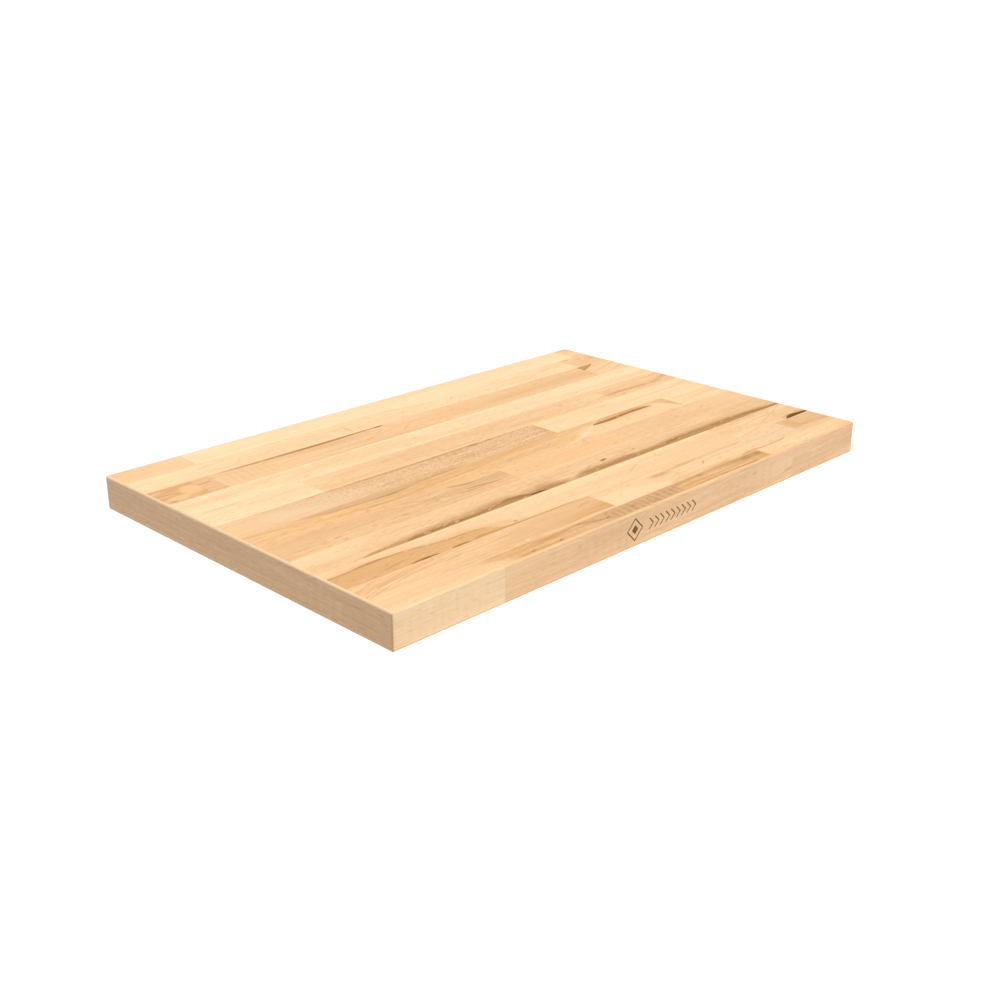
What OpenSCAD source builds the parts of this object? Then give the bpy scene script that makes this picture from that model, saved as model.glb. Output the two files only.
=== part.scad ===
// Edge-grain butcher block table top.
// Twelve rows of maple staves, butt-jointed end to end and glued side by side, with thin
// solid strips glued round all four edges and mitred at the corners.
// +X runs along the length, the marked front edge faces -Y, and the origin is the centre
// of the underside.

/* [Block] */
// Length, left end to right end
block_length = 711.2; // [500:0.1:1100]
// Depth, front edge to back edge
block_depth = 457.2; // [300:0.1:760]
// Thickness, underside to work surface
block_thickness = 37.3; // [32:0.1:64]

/* [Edge bands] */
// Thickness of the strips glued round the four edges
band_thickness = 2.4; // [2.4:0.1:8]
// Radius rounded onto every outside edge and corner
edge_radius = 2.2; // [1:0.1:2.4]

/* [Burnt mark] */
// Height of the lozenge at the left of the mark
lozenge_height = 25; // [10:0.5:26]
// Height of the chevrons beside it
chevron_height = 12.4; // [6:0.1:20]
// Number of chevrons
chevron_count = 9; // [1:1:14]
// Distance from one chevron to the next
chevron_pitch = 8.6; // [5:0.1:12]
// Width of the burnt line
stroke = 1.4; // [0.8:0.1:2]
// Depth of the burnt line below the face of the band
mark_depth = 0.6; // [0.2:0.1:1.5]

/* [Hidden] */
// The standard block that the lists below are drawn for
std_length = 711.2;
// Rows from back to front. Each has its width, then the right end and the tone of every
// stave along it, in millimetres from the left end of a block of the standard length.
ROWS = [
    [38,   [[88, "tan"], [686, "cream"], [std_length, "tan"]]],
    [38.3, [[657, "cream"], [std_length, "tan"]]],
    [43,   [[53, "amber"], [74, "brown"], [650, "peach"], [std_length, "cream"]]],
    [40,   [[std_length, "cream"]]],
    [40,   [[134, "cream"], [585, "peach"], [std_length, "tan"]]],
    [40.2, [[437, "tan"], [std_length, "cream"]]],
    [38.5, [[624, "amber"], [std_length, "cream"]]],
    [36,   [[302, "tan"], [std_length, "peach"]]],
    [41,   [[std_length, "peach"]]],
    [40.5, [[565, "cream"], [std_length, "tan"]]],
    [39.3, [[313, "peach"], [641, "cream"], [std_length, "tan"]]],
    [22.4, [[548, "amber"], [std_length, "cream"]]],
];
// Where the long bands are cut, from the left end of a block of the standard length
BAND_CUTS = [0, 133, 587, std_length];
// What the staves of a row with one, two, three or four of them are called
PLACES = [
    ["full"],
    ["left", "right"],
    ["left", "middle", "right"],
    ["left", "filler", "middle", "right"],
];
// Colour of each tone of wood
TONES = [
    ["cream", [0.97, 0.86, 0.67]],
    ["peach", [0.95, 0.79, 0.58]],
    ["tan", [0.92, 0.74, 0.52]],
    ["amber", [0.88, 0.66, 0.40]],
    ["brown", [0.82, 0.62, 0.42]],
];
burnt = [0.36, 0.22, 0.12];

half_length = block_length / 2;
half_depth = block_depth / 2;
// Half size of the glued panel inside the bands
panel_x = half_length - band_thickness;
panel_y = half_depth - band_thickness;
length_ratio = block_length / std_length;
round_fn = 48;

function tone(name) = TONES[search([name], TONES)[0]][1];
function row_sum(upto) = upto == 0 ? 0 : ROWS[upto - 1][0] + row_sum(upto - 1);
depth_ratio = block_depth / row_sum(len(ROWS));

// Place along the length of a cut given from the left end of the standard block
function along(cut) = cut * length_ratio - half_length;
// Place of the seam behind a row, which at the first and last rows stops at the bands
function seam(r) = max(min(half_depth - row_sum(r) * depth_ratio, panel_y), -panel_y);
// Ends of a stave, held inside the panel
function stave_left(r, p) = p == 0 ? -panel_x : along(ROWS[r][1][p - 1][0]);
function stave_right(r, p) = min(along(ROWS[r][1][p][0]), panel_x);
function stave_name(r, p) =
    str("stave_", r < 9 ? "0" : "", r + 1, "_", PLACES[len(ROWS[r][1]) - 1][p]);

STAVES = [
    for (r = [0:len(ROWS) - 1])
        for (p = [0:len(ROWS[r][1]) - 1])
            [stave_name(r, p), r, p]
];

// A stave of the given row, the full thickness of the block
module stave(r, p) {
    x0 = stave_left(r, p);
    y0 = seam(r + 1);
    color(tone(ROWS[r][1][p][1]))
        translate([x0, y0, 0])
            cube([stave_right(r, p) - x0, seam(r) - y0, block_thickness]);
}

// The bead that rounds one vertical corner of the block, top and bottom
module corner_bead() {
    translate([0, 0, edge_radius]) sphere(r = edge_radius, $fn = round_fn);
    translate([0, 0, block_thickness - edge_radius]) sphere(r = edge_radius, $fn = round_fn);
    translate([0, 0, edge_radius])
        cylinder(r = edge_radius, h = block_thickness - 2 * edge_radius, $fn = round_fn);
}

// A strip along -Y of the given length, rounded top and bottom on its outer side
module strip(length, depth) {
    translate([0, -depth, 0]) {
        for (z = [edge_radius, block_thickness - edge_radius])
            translate([-length / 2, edge_radius, z])
                rotate([0, 90, 0])
                    cylinder(r = edge_radius, h = length, $fn = round_fn);
        translate([-length / 2, 0, edge_radius])
            cube([length, 2 * edge_radius, block_thickness - 2 * edge_radius]);
        translate([-length / 2, edge_radius, 0])
            cube([length, 2 * band_thickness, block_thickness]);
    }
}

// A band from x0 to x1 along an edge at the given half depth, mitred where it meets a corner
module band(x0, x1, corner, depth) {
    mitre_left = x0 <= -corner ? band_thickness : 0;
    mitre_right = x1 >= corner ? band_thickness : 0;
    intersection() {
        union() {
            strip(2 * (corner - edge_radius), depth);
            for (side = [0, 1])
                mirror([side, 0, 0])
                    translate([corner - edge_radius, edge_radius - depth, 0]) corner_bead();
        }
        linear_extrude(block_thickness)
            polygon([
                [x0, -depth], [x1, -depth],
                [x1 - mitre_right, band_thickness - depth],
                [x0 + mitre_left, band_thickness - depth],
            ]);
    }
}

// One of the three pieces of a long band
module long_band(i) {
    band(along(BAND_CUTS[i]), along(BAND_CUTS[i + 1]), half_length, half_depth);
}

module lozenge(height) {
    rotate(45) square(height / sqrt(2), center = true);
}

// A chevron that points right
module chevron() {
    reach = chevron_height / 2;
    polygon([
        [0, reach], [stroke * sqrt(2), reach], [reach + stroke * sqrt(2), 0],
        [stroke * sqrt(2), -reach], [0, -reach], [reach, 0],
    ]);
}

// The burnt mark, drawn flat and centred
module mark() {
    run = (chevron_count - 1) * chevron_pitch + chevron_height / 2;
    gap = chevron_pitch;
    start = -(lozenge_height + gap + run) / 2;
    translate([start + lozenge_height / 2, 0]) {
        difference() {
            lozenge(lozenge_height);
            lozenge(lozenge_height - 2 * stroke * sqrt(2));
        }
        lozenge(lozenge_height / 2.5);
    }
    for (i = [0:chevron_count - 1])
        translate([start + lozenge_height + gap + i * chevron_pitch, 0]) chevron();
}

module front_band_left() { color(tone("cream")) long_band(0); }

module front_band_middle() {
    color(tone("peach"))
        difference() {
            long_band(1);
            translate([0, mark_depth - half_depth, block_thickness / 2])
                rotate([90, 0, 0]) color(burnt) linear_extrude(2 * mark_depth) mark();
        }
}

module front_band_right() { color(tone("tan")) long_band(2); }

// The back band is cut from the same strips turned end for end
module back_band_left() { color(tone("peach")) rotate(180) long_band(2); }
module back_band_middle() { color(tone("cream")) rotate(180) long_band(1); }
module back_band_right() { color(tone("tan")) rotate(180) long_band(0); }

module end_band() { band(-half_depth, half_depth, half_depth, half_length); }
module end_band_left() { color(tone("tan")) rotate(-90) end_band(); }
module end_band_right() { color(tone("peach")) rotate(90) end_band(); }

for (s = STAVES) stave(s[1], s[2]);
front_band_left();
front_band_middle();
front_band_right();
back_band_left();
back_band_middle();
back_band_right();
end_band_left();
end_band_right();
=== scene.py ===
import math

import bmesh
import bpy
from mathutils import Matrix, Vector


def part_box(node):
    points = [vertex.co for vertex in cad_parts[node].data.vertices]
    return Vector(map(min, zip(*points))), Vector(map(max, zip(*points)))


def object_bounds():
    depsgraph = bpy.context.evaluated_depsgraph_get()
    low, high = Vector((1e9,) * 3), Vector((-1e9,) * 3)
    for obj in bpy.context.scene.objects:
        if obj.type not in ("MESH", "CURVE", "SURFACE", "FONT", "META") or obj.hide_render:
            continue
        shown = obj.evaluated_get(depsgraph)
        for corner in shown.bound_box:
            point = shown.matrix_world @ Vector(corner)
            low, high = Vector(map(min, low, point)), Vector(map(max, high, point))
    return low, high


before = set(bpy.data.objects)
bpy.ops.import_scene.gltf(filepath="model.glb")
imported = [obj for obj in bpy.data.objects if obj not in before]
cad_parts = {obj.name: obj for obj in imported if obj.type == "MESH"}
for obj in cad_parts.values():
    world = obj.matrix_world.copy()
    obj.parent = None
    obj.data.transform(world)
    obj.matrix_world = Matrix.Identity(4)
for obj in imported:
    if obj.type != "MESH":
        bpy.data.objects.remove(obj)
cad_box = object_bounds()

# Places on the wood are in millimetres: along the block from its left end, across it from its
# back edge, and deep below the work surface. The block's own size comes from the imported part.
LOW, HIGH = cad_box
MM_PER_M = 1000
LENGTH = (HIGH.x - LOW.x) * MM_PER_M
DEPTH = (HIGH.y - LOW.y) * MM_PER_M
THICKNESS = (HIGH.z - LOW.z) * MM_PER_M
WIDEST_STREAK = 60

# How brightly the studio lights a level surface, against a white sheet in plain daylight
STUDIO_LIGHT = 1.2


def seen(red, green, blue):
    """A wood colour as it looks on the lit work surface (0 to 255), as what the wood reflects."""
    parts = [part / 255 for part in (red, green, blue)]
    linear = [p / 12.92 if p <= 0.04045 else ((p + 0.055) / 1.055) ** 2.4 for p in parts]
    return (*[part / STUDIO_LIGHT for part in linear], 1)


# --- Wood colours ---------------------------------------------------------------------------
# Red above 255 belongs to tones so pale that the studio light bleaches it on the work surface
PALE = seen(264, 231, 185)
CREAM = seen(262, 226, 177)
HONEY = seen(259, 217, 168)
PEACH = seen(254, 209, 159)
ROSE = seen(247, 200, 149)
GOLD = seen(255, 204, 146)
TAN = seen(239, 192, 141)
BEIGE = seen(248, 213, 169)
AMBER = seen(231, 178, 120)
ORANGE = seen(229, 168, 102)
GREY_TAN = seen(224, 180, 132)
RUSSET = seen(212, 157, 98)
SCORCH = seen(192, 142, 86)
BROWN = seen(176, 124, 64)
UMBER = seen(118, 74, 24)
SOOT = seen(92, 68, 44)


# --- Shader values --------------------------------------------------------------------------
class Value:
    """A number that changes over the wood. Arithmetic on it adds Math nodes."""

    def __init__(self, finish, socket):
        self.finish = finish
        self.socket = socket

    def __add__(self, other):
        return self.finish.math("ADD", self, other)

    def __sub__(self, other):
        return self.finish.math("SUBTRACT", self, other)

    def __rsub__(self, other):
        return self.finish.math("SUBTRACT", other, self)

    def __mul__(self, other):
        return self.finish.math("MULTIPLY", self, other)

    def __truediv__(self, other):
        return self.finish.math("DIVIDE", self, other)

    def __pow__(self, other):
        return self.finish.math("POWER", self, other)

    def __abs__(self):
        return self.finish.math("ABSOLUTE", self)

    __radd__ = __add__
    __rmul__ = __mul__

    def least(self, other):
        return self.finish.math("MINIMUM", self, other)

    def most(self, other):
        return self.finish.math("MAXIMUM", self, other)

    def wave(self):
        return self.finish.math("SINE", self)

    def fraction(self):
        return self.finish.math("FRACT", self)

    def clamped(self):
        """The value held between 0 and 1."""
        return self.finish.math("MULTIPLY", self, 1, clamp=True)

    def between(self, low, high):
        """0 at low, 1 at high, with a smooth change between them."""
        return self.finish.step(self, low, high)


class Finish:
    """One material, built node by node."""

    def __init__(self, name):
        self.material = bpy.data.materials.new(name)
        self.material.use_nodes = True
        self.tree = self.material.node_tree
        self.tree.nodes.clear()

    def node(self, kind, settings=None, sockets=None):
        """Adds a node: its settings first, then the values or links of its sockets."""
        made = self.tree.nodes.new(kind)
        for name, setting in (settings or {}).items():
            if name == "points":
                self.bend(made, setting)
            else:
                setattr(made, name, setting)
        for name, value in (sockets or {}).items():
            if isinstance(value, Value):
                self.tree.links.new(value.socket, made.inputs[name])
            else:
                made.inputs[name].default_value = value
        return made

    def bend(self, made, points):
        """Gives a Float Curve its points."""
        made.mapping.extend = "HORIZONTAL"
        line = made.mapping.curves[0]
        line.points[0].location = points[0]
        line.points[1].location = points[-1]
        for point in points[1:-1]:
            line.points.new(*point)
        made.mapping.update()

    def value(self, made, output=0):
        return Value(self, made.outputs[output])

    def math(self, operation, first, second=0, clamp=False):
        settings = {"operation": operation, "use_clamp": clamp}
        return self.value(self.node("ShaderNodeMath", settings, {0: first, 1: second}))

    def step(self, value, low, high):
        settings = {"interpolation_type": "SMOOTHSTEP"}
        sockets = {"Value": value, "From Min": low, "From Max": high}
        return self.value(self.node("ShaderNodeMapRange", settings, sockets))

    def vector(self, x, y, z):
        return self.value(self.node("ShaderNodeCombineXYZ", None, {0: x, 1: y, 2: z}))

    def mix(self, first, second, factor, clamp=True):
        """Mixes two colours; without the clamp a factor may go past either of them."""
        settings = {"data_type": "RGBA", "clamp_factor": clamp}
        sockets = {"Factor": factor, 6: first, 7: second}
        return self.value(self.node("ShaderNodeMix", settings, sockets), 2)

    def noise(self, vector, detail=2.0, roughness=0.5):
        sockets = {"Vector": vector, "Scale": 1, "Detail": detail, "Roughness": roughness}
        return self.value(self.node("ShaderNodeTexNoise", None, sockets))

    def cells(self, vector):
        """Scattered points: how far the nearest one is, and a number of its own."""
        settings = {"voronoi_dimensions": "2D"}
        made = self.node("ShaderNodeTexVoronoi", settings, {"Vector": vector, "Scale": 1})
        number = self.node("ShaderNodeSeparateColor", None, {0: self.value(made, "Color")})
        return self.value(made, "Distance"), self.value(number)


class Maple(Finish):
    """Sanded and oiled maple. The tones and marks of each piece are laid on one by one."""

    def __init__(self, name, seed, laid):
        super().__init__(name)
        self.seed = seed
        place = self.node("ShaderNodeTexCoord")
        axes = self.node("ShaderNodeSeparateXYZ", None, {0: self.value(place, "Object")})
        self.x, self.y, self.z = (self.value(axes, axis) * MM_PER_M for axis in range(3))
        self.along, self.across, self.deep = laid(self.x, self.y, self.z)
        # Marks slant through the board, so the underside shows them in other places
        self.mark_along = self.along + self.deep * 3
        self.mark_across = self.across + self.deep * 0.25
        self.share = self.mark_along / LENGTH
        wander = self.noise(self.stretched(self.across, 150, 60))
        self.line = self.across + (wander - 0.5) * 3
        self.fibre = self.noise(self.stretched(self.line, 45, 1.3), 3, 0.6)
        self.band = self.noise(self.stretched(self.line, 110, 4), 2)
        self.fray = self.noise(self.stretched(self.line, 40, 6), 3) - 0.5
        # Short marks slant less and look finer on the upright faces than on the top
        self.lean, self.fine = (-0.25, 1.0) if laid is laid_flat else (0.0, 0.6)
        leaning = self.line - self.along * self.lean * 0.6
        self.mottle = self.noise(self.stretched(leaning, 11, 2.2), 2, 0.6)
        self.colour = None
        self.rough = 0.43 + (self.fibre - 0.5) * 0.16
        self.height = self.fibre * 0.012

    def stretched(self, across, run, width):
        """Noise coordinates for marks that are run mm long and width mm wide."""
        return self.vector(
            self.along / run + self.seed * 7.31,
            across / width + self.seed * 3.17,
            self.deep / width,
        )

    def curve(self, points, full):
        """A size between 0 and full that follows (along, size) points."""
        scaled = [(along / LENGTH, size / full) for along, size in points]
        made = self.node("ShaderNodeFloatCurve", {"points": scaled}, {"Value": self.share})
        return self.value(made) * full

    # Tones ------------------------------------------------------------------------------
    def body(self, light, dark, contrast=1.0, patchy=0.5):
        """The piece's own colour, with long soft drifts and fine fibres."""
        drift = self.noise(self.stretched(self.line, 150, 20), 1)
        tone = (drift - 0.5) * (4 * patchy) + (self.band - 0.5) * (4.5 * contrast)
        tone = tone + (self.fibre - 0.5) * (5 * contrast) + 0.5
        tone = tone + (self.mottle - 0.5) * (4 * contrast)
        self.colour = self.mix(light, dark, tone.most(-1).least(2.5), clamp=False)

    def stain(self, mask, tint, strength=1.0):
        """Turns the wood towards a tint where the mask is, a little less between fibres."""
        worn = mask * ((self.fibre - 0.5) * 1.4 + (self.mottle - 0.5) * 0.9 + strength)
        self.colour = self.mix(self.colour, tint, worn.clamped())

    def wash(self, route, tint, strength=0.7, soft=8.0):
        """A broad soft change of tone."""
        self.stain(self.route_mask(route, soft, soft * 1.5), tint, strength)

    def streak(self, route, tint, strength=0.9, soft=1.4, ragged=2.0):
        """A mineral streak or line along a route of (along, across, half width) points."""
        mask = self.route_mask(route, soft, ragged)
        self.stain(mask, tint, strength)
        self.rough = self.rough + mask * 0.05

    def route_mask(self, route, soft, ragged):
        middle = self.curve([(along, across) for along, across, _ in route], DEPTH)
        half = self.curve([(along, width) for along, _, width in route], WIDEST_STREAK)
        off = abs(self.mark_across + self.fray * ragged - middle)
        return ((half - off) / soft).clamped()

    def spot(self, along, across, length, width, tint, strength=0.9, lean=0.0):
        """An oval mark such as a pin knot."""
        run = self.mark_along - along
        reach = run / (length / 2)
        side = (self.mark_across + self.fray - across - run * lean) / (width / 2)
        off = (reach * reach + side * side) ** 0.5
        self.stain(1 - off.between(0.35, 1.1), tint, strength)

    def ticks(self, places, tint, size=(9, 2.8), strength=0.8):
        """The same short mark at each of several places."""
        length, width = size[0], size[1] * self.fine
        for along, across in places:
            self.spot(along, across, length, width, tint, strength, self.lean)

    # Figure -----------------------------------------------------------------------------
    def flecks(self, tint, number=0.4, strength=0.8):
        """Short dashes scattered over the piece; number is the share of places that hold one."""
        length, width = 9 * self.fine, 2 * self.fine
        across = self.across - self.along * self.lean
        spread = 0.2
        place = self.vector(
            self.along * (2 * spread / length) + self.seed * 1.7,
            across * (2 * spread / width) + self.seed * 2.3,
            0,
        )
        off, lot = self.cells(place)
        dash = (1 - off.between(spread * 0.4, spread)) * lot.between(1 - number, 1.02 - number)
        self.stain(dash, tint, strength)
        self.height = self.height - dash * 0.01

    def arches(self, apex, centre, opening, tint, pitch=5.0, strength=0.35, where=None):
        """Nested growth rings that arch round a centre line and open away from the apex."""
        side = self.line - centre
        run = (self.along - apex) * opening
        ring = (side * side + run * run + 4) ** 0.5 + (self.band - 0.5) * 4
        turn = (ring / pitch).fraction()
        mask = turn.between(0.35, 0.85) * (1 - turn.between(0.9, 1.0))
        if where is not None:
            mask = mask * self.route_mask(where, 12, 3)
        self.stain(mask, tint, strength)

    def curl(self, where, tint, pitch=11.0, lean=0.25, strength=0.3):
        """Ripples across the grain, within a route."""
        wobble = (self.noise(self.stretched(self.across, 22, 30)) - 0.5) * 9
        phase = (self.along + self.across * lean + wobble) * (2 * math.pi / pitch)
        ripple = phase.wave() * 0.5 + 0.5
        self.stain(ripple * self.route_mask(where, 10, 4), tint, strength)

    def lace(self, where, tint, strength=0.5, shift=0.0):
        """The fine speckle of quarter-sawn rays."""
        run = self.along / 4 + self.across / 5 + shift
        place = self.vector(run, self.across / 1.8 + shift, self.deep / 3)
        speckle = self.noise(place, 2, 0.7).between(0.48, 0.6)
        mask = speckle * self.route_mask(where, 14, 4)
        self.stain(mask, tint, strength)
        self.height = self.height - mask * 0.01

    # Edges ------------------------------------------------------------------------------
    def glue(self, gap):
        """A hairline of glue where the distance to a joint is next to nothing."""
        mask = 1 - gap.between(0.04, 0.3)
        self.colour = self.mix(self.colour, RUSSET, mask * 0.3)
        self.height = self.height - mask * 0.03

    def oiled(self):
        """Ends the material: a low satin over fine lengthwise sanding marks."""
        relief = {"Strength": 1, "Distance": 1 / MM_PER_M, "Height": self.height}
        bump = self.value(self.node("ShaderNodeBump", None, relief), "Normal")
        sockets = {"Base Color": self.colour, "Roughness": self.rough, "Normal": bump}
        sockets["IOR"] = 1.47
        surface = self.node("ShaderNodeBsdfPrincipled", None, sockets)
        self.node("ShaderNodeOutputMaterial", None, {"Surface": self.value(surface)})
        return self.material


# --- How each kind of piece lies in the block -------------------------------------------------
# Thickness of the edge strips
BAND = HIGH.x * MM_PER_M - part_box("stave_04_full")[1][0] * MM_PER_M
# The edge strips were sawn off the same boards as the staves, so each shares their places
FRONT_BOARD = 198.0
BACK_BOARD = 316.0
LEFT_RUN = 134.0
RIGHT_RUN = 420.0


def laid_flat(x, y, z):
    return x + LENGTH / 2, DEPTH / 2 - y, THICKNESS - z


def laid_front(x, y, z):
    return x + LENGTH / 2, FRONT_BOARD - z, y + DEPTH / 2


def laid_back(x, y, z):
    return LENGTH / 2 - x, BACK_BOARD - z, DEPTH / 2 - y


def laid_left(x, y, z):
    return y + DEPTH / 2 + LEFT_RUN, FRONT_BOARD - z, x + LENGTH / 2


def laid_right(x, y, z):
    return RIGHT_RUN - y, FRONT_BOARD - z, LENGTH / 2 - x


def stave_gap(wood, node):
    """Distance to the nearest joint round a stave."""
    low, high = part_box(node)
    left, right = low[0] * MM_PER_M + LENGTH / 2, high[0] * MM_PER_M + LENGTH / 2
    back, front = DEPTH / 2 - high[1] * MM_PER_M, DEPTH / 2 - low[1] * MM_PER_M
    ends = (wood.along - left).least(right - wood.along)
    sides = (wood.across - back).least(front - wood.across)
    return ends.least(sides)


def band_gap(wood, node):
    """Distance to the nearest joint round an edge strip: the panel, a mitre or a butt joint."""
    inset_x = LENGTH / 2 - abs(wood.x)
    inset_y = DEPTH / 2 - abs(wood.y)
    gap = (BAND - inset_x.least(inset_y)).least(abs(inset_x - inset_y))
    low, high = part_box(node)
    for end in (low[0], high[0]):
        if abs(end) * MM_PER_M < LENGTH / 2 - BAND:
            gap = gap.least(abs(wood.x - end * MM_PER_M))
    return gap


def painted_mitre_shade(wood):
    """Painted shade: darker along the rounded outer line of each mitre, down the upright corner."""
    off = abs((LENGTH / 2 - abs(wood.x)) - (DEPTH / 2 - abs(wood.y)))
    mask = (1 - off.between(0.3, 1.9)) * (THICKNESS - wood.z).between(0.4, 3)
    wood.colour = wood.mix(wood.colour, BROWN, mask * 0.35)


# Tint of the front strips' upper edge and how strong it is, then those of the other strips; the left
# end strip's pale tint is a painted highlight
FRONT_RIM = (AMBER, 0.25)
OTHER_RIMS = {
    "end_band_left": (PALE, 0.7),
    "end_band_right": (AMBER, 0.7),
    "back_band_left": (AMBER, 0.45),
    "back_band_middle": (AMBER, 0.45),
    "back_band_right": (AMBER, 0.45),
}


def rim_tint_and_painted_shade(wood, tint, strength):
    """The rounded outer edges: the upper one takes a tint (a painted highlight on the left end
    strip), and the lower one darkens with painted shade.
    """
    top = wood.z.between(THICKNESS - 2.6, THICKNESS - 0.8)
    wood.colour = wood.mix(wood.colour, tint, top * strength)
    # Painted shade along the lower rounded edge, where the lights cast no shadow
    painted_lower_shade = 1 - wood.z.between(1.2, 2.6)
    wood.colour = wood.mix(wood.colour, BROWN, painted_lower_shade * 0.65)


def burn_mark(wood):
    """Chars the floor and walls of the mark's grooves."""
    sunk = wood.deep.between(0.02, 0.3)
    clear = wood.z.between(4, 6) * (1 - wood.z.between(THICKNESS - 6, THICKNESS - 4))
    mask = sunk * clear
    soot = wood.noise(wood.stretched(wood.across, 1.5, 1.5), 2)
    wood.colour = wood.mix(wood.colour, wood.mix(BROWN, SOOT, soot * 1.4), mask)
    wood.rough = wood.rough + mask * 0.3


# --- The pieces -----------------------------------------------------------------------------
RECIPES = {}


def piece(recipe):
    """Keeps a recipe under the name of the piece that it finishes."""
    RECIPES[recipe.__name__] = recipe
    return recipe


# Row 1, along the back edge
@piece
def stave_01_left(wood):
    wood.body(HONEY, PEACH, 0.7)
    wood.ticks([(18, 16), (12, 26), (48, 9), (64, 25)], ROSE, (12, 3))
    wood.flecks(ROSE, 0.2)


@piece
def stave_01_middle(wood):
    wood.body(PALE, CREAM, 0.9)
    wood.wash([(88, 37, 9), (520, 37, 9), (560, 38, 15), (686, 38, 15)], PALE, 0.9)
    wood.wash([(180, 9, 0), (330, 9, 9), (560, 9, 10), (686, 9, 8)], HONEY, 0.5, 10)
    wood.ticks([(396, 20), (612, 14), (556, 29), (470, 11)], HONEY)
    wood.flecks(HONEY, 0.2)


@piece
def stave_01_right(wood):
    wood.body(PEACH, HONEY, 0.7)
    wood.wash([(686, 4, 8), (711, 8, 12)], ROSE, 0.6)


# Row 2
@piece
def stave_02_left(wood):
    wood.body(CREAM, HONEY, 1.0)
    wood.wash([(0, 42, 8), (60, 46, 8), (110, 42, 0)], PALE, 0.8)
    wood.wash([(80, 72, 0), (150, 64, 16), (240, 60, 20), (335, 68, 0)], PEACH, 0.5, 14)
    wood.wash([(330, 44, 0), (380, 40, 8), (440, 44, 12), (500, 42, 9), (530, 40, 0)], PALE, 0.8)
    wood.streak([(160, 41, 0), (185, 39, 1.8), (204, 37, 0)], ROSE, 0.7)
    wood.streak([(76, 52, 0), (92, 50, 2), (108, 50, 0)], ROSE, 0.8)
    wood.streak([(110, 69, 0), (120, 65, 1.8), (131, 55, 2), (136, 51, 0)], ROSE, 0.7)
    wood.streak([(256, 54, 0), (268, 52.5, 2), (279, 51, 0)], TAN, 0.9)
    wood.streak([(331, 38, 0), (352, 40, 1.8), (372, 46, 1.6), (392, 49, 1.6), (406, 50, 0)], ROSE)
    wood.streak([(560, 65, 0), (575, 62.5, 1.6), (608, 61, 0)], TAN, 0.7)
    wood.streak([(500, 72, 0), (510, 69, 1.6), (522, 65, 0)], TAN, 0.7)
    wood.spot(275, 62, 4.4, 25, TAN, 0.9)
    wood.spot(288, 65, 5, 9, ROSE, 0.8)
    wood.spot(442, 57, 9, 3.2, AMBER, 0.9, -0.7)
    wood.ticks([(352, 70), (364, 55), (392, 65), (410, 53), (414, 70), (443, 71), (464, 68),
                (463, 60), (498, 64), (541, 64), (612, 53), (624, 51), (626, 60), (640, 64),
                (172, 56), (206, 66), (226, 50), (244, 68), (310, 58), (40, 63), (22, 55)], ROSE)
    wood.flecks(ROSE, 0.35)


@piece
def stave_02_right(wood):
    wood.body(PEACH, ROSE, 0.9)
    wood.spot(665, 42, 18, 7, TAN)
    wood.spot(684, 49, 13, 9, GREY_TAN, 0.6)
    wood.wash([(657, 72, 0), (680, 62, 5), (711, 52, 7)], TAN, 0.7, 6)


# Row 3
@piece
def stave_03_left(wood):
    wood.body(TAN, AMBER, 0.9)
    wood.wash([(0, 82, 6), (30, 82, 6), (53, 80, 5)], RUSSET, 0.4, 6)
    wood.spot(42, 97, 30, 30, GOLD, 1.3)
    wood.spot(20, 109, 44, 16, GOLD, 0.9, -0.1)
    wood.wash([(0, 86, 8), (24, 86, 8), (36, 84, 0)], AMBER, 0.9, 6)
    wood.spot(8, 84, 26, 8, PEACH, 0.5)
    wood.spot(10, 115, 14, 6, RUSSET, 0.8)
    wood.spot(46, 113, 16, 7, AMBER, 0.9)
    wood.streak([(0, 92, 2.4), (12, 94, 2.2), (26, 98, 2.2), (34, 103, 0)], RUSSET, 0.7, 2)


@piece
def stave_03_filler(wood):
    wood.body(ROSE, TAN, 0.9)
    wood.streak([(53, 80, 2), (74, 80, 2)], GREY_TAN, 0.7, 2)
    wood.streak([(53, 91.5, 2.2), (64, 91.5, 2.4), (72, 88, 0)], RUSSET, 0.9)
    wood.streak([(53, 100, 1.4), (74, 99, 1.4)], TAN, 0.7)
    wood.streak([(53, 108, 1.4), (74, 108, 1.4)], TAN, 0.7)


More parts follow.
